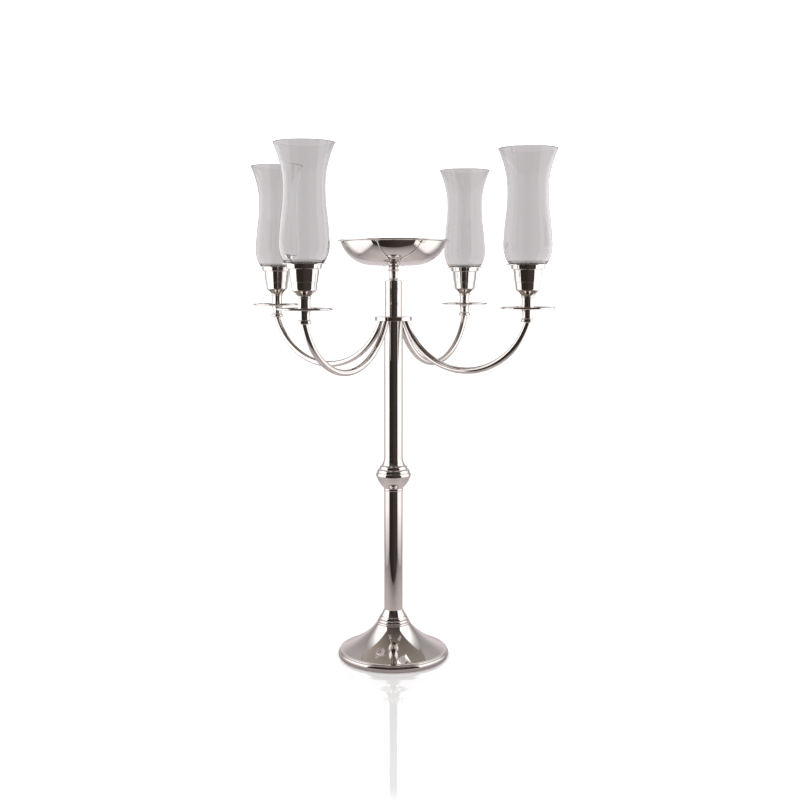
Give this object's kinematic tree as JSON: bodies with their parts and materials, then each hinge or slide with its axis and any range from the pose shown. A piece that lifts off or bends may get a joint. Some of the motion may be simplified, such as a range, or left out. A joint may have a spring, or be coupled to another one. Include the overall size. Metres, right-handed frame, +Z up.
{
  "type": "tabletop candelabra",
  "caption": "Polished nickel tabletop candelabra: weighted round base, knopped column, U-shaped arms with glass hurricane shades over candle cups, and a shallow centre bowl.",
  "frame": {"origin": "centre of the base's underside, on the table", "axes": "+Z up along the column; the four arms lie along +X, +Y, -X and -Y"},
  "size_m": [0.594, 0.594, 0.847],
  "materials": {
    "polished_nickel": "polished nickel plate on brass, mirror bright",
    "clear_glass": "clear blown glass",
    "felt": "dark wool felt",
    "cast_iron": "rough casting, black paint",
    "plain_steel": "zinc-plated steel fixings"
  },
  "bodies": {
    "stand": {"felt_pad": "felt", "base_ballast": "cast_iron", "base_shell": "polished_nickel", "base_ferrule": "polished_nickel", "base_washer": "plain_steel", "base_nut": "plain_steel", "tie_rod": "plain_steel", "lower_column_tube": "polished_nickel", "column_knop": "polished_nickel", "upper_column_tube": "polished_nickel", "hub_washer": "plain_steel", "hub_nut": "plain_steel", "column_sleeve": "polished_nickel", "sleeve_cap": "polished_nickel"},
    "arm_tier": {"arm_hub": "polished_nickel", "arm_1": "polished_nickel", "arm_ferrule_1": "polished_nickel", "drip_pan_1": "polished_nickel", "cup_stem_1": "polished_nickel", "candle_cup_1": "polished_nickel", "gallery_ring_1": "polished_nickel", "candle_socket_1": "polished_nickel", "cup_stud_1": "plain_steel", "arm_2": "polished_nickel", "arm_ferrule_2": "polished_nickel", "drip_pan_2": "polished_nickel", "cup_stem_2": "polished_nickel", "candle_cup_2": "polished_nickel", "gallery_ring_2": "polished_nickel", "candle_socket_2": "polished_nickel", "cup_stud_2": "plain_steel", "arm_3": "polished_nickel", "arm_ferrule_3": "polished_nickel", "drip_pan_3": "polished_nickel", "cup_stem_3": "polished_nickel", "candle_cup_3": "polished_nickel", "gallery_ring_3": "polished_nickel", "candle_socket_3": "polished_nickel", "cup_stud_3": "plain_steel", "arm_4": "polished_nickel", "arm_ferrule_4": "polished_nickel", "drip_pan_4": "polished_nickel", "cup_stem_4": "polished_nickel", "candle_cup_4": "polished_nickel", "gallery_ring_4": "polished_nickel", "candle_socket_4": "polished_nickel", "cup_stud_4": "plain_steel"},
    "centre_bowl": {"bowl_stem": "polished_nickel", "bowl_flange": "polished_nickel", "bowl": "polished_nickel"},
    "shade_1": {"hurricane_shade_1": "clear_glass"},
    "shade_2": {"hurricane_shade_2": "clear_glass"},
    "shade_3": {"hurricane_shade_3": "clear_glass"},
    "shade_4": {"hurricane_shade_4": "clear_glass"}
  },
  "joints": [
    {"name": "arm_tier_turn", "type": "hinge", "parent": "stand", "child": "arm_tier", "pos_m": [0, 0, 0.576], "axis": [0, 0, 1], "continuous": true},
    {"name": "bowl_lift", "type": "slide", "parent": "stand", "child": "centre_bowl", "axis": [0, 0, 1], "range_m": [0, 0.12]},
    {"name": "shade_1_lift", "type": "slide", "parent": "arm_tier", "child": "shade_1", "axis": [0, 0, 1], "range_m": [0, 0.2]},
    {"name": "shade_2_lift", "type": "slide", "parent": "arm_tier", "child": "shade_2", "axis": [0, 0, 1], "range_m": [0, 0.2]},
    {"name": "shade_3_lift", "type": "slide", "parent": "arm_tier", "child": "shade_3", "axis": [0, 0, 1], "range_m": [0, 0.2]},
    {"name": "shade_4_lift", "type": "slide", "parent": "arm_tier", "child": "shade_4", "axis": [0, 0, 1], "range_m": [0, 0.2]}
  ]
}
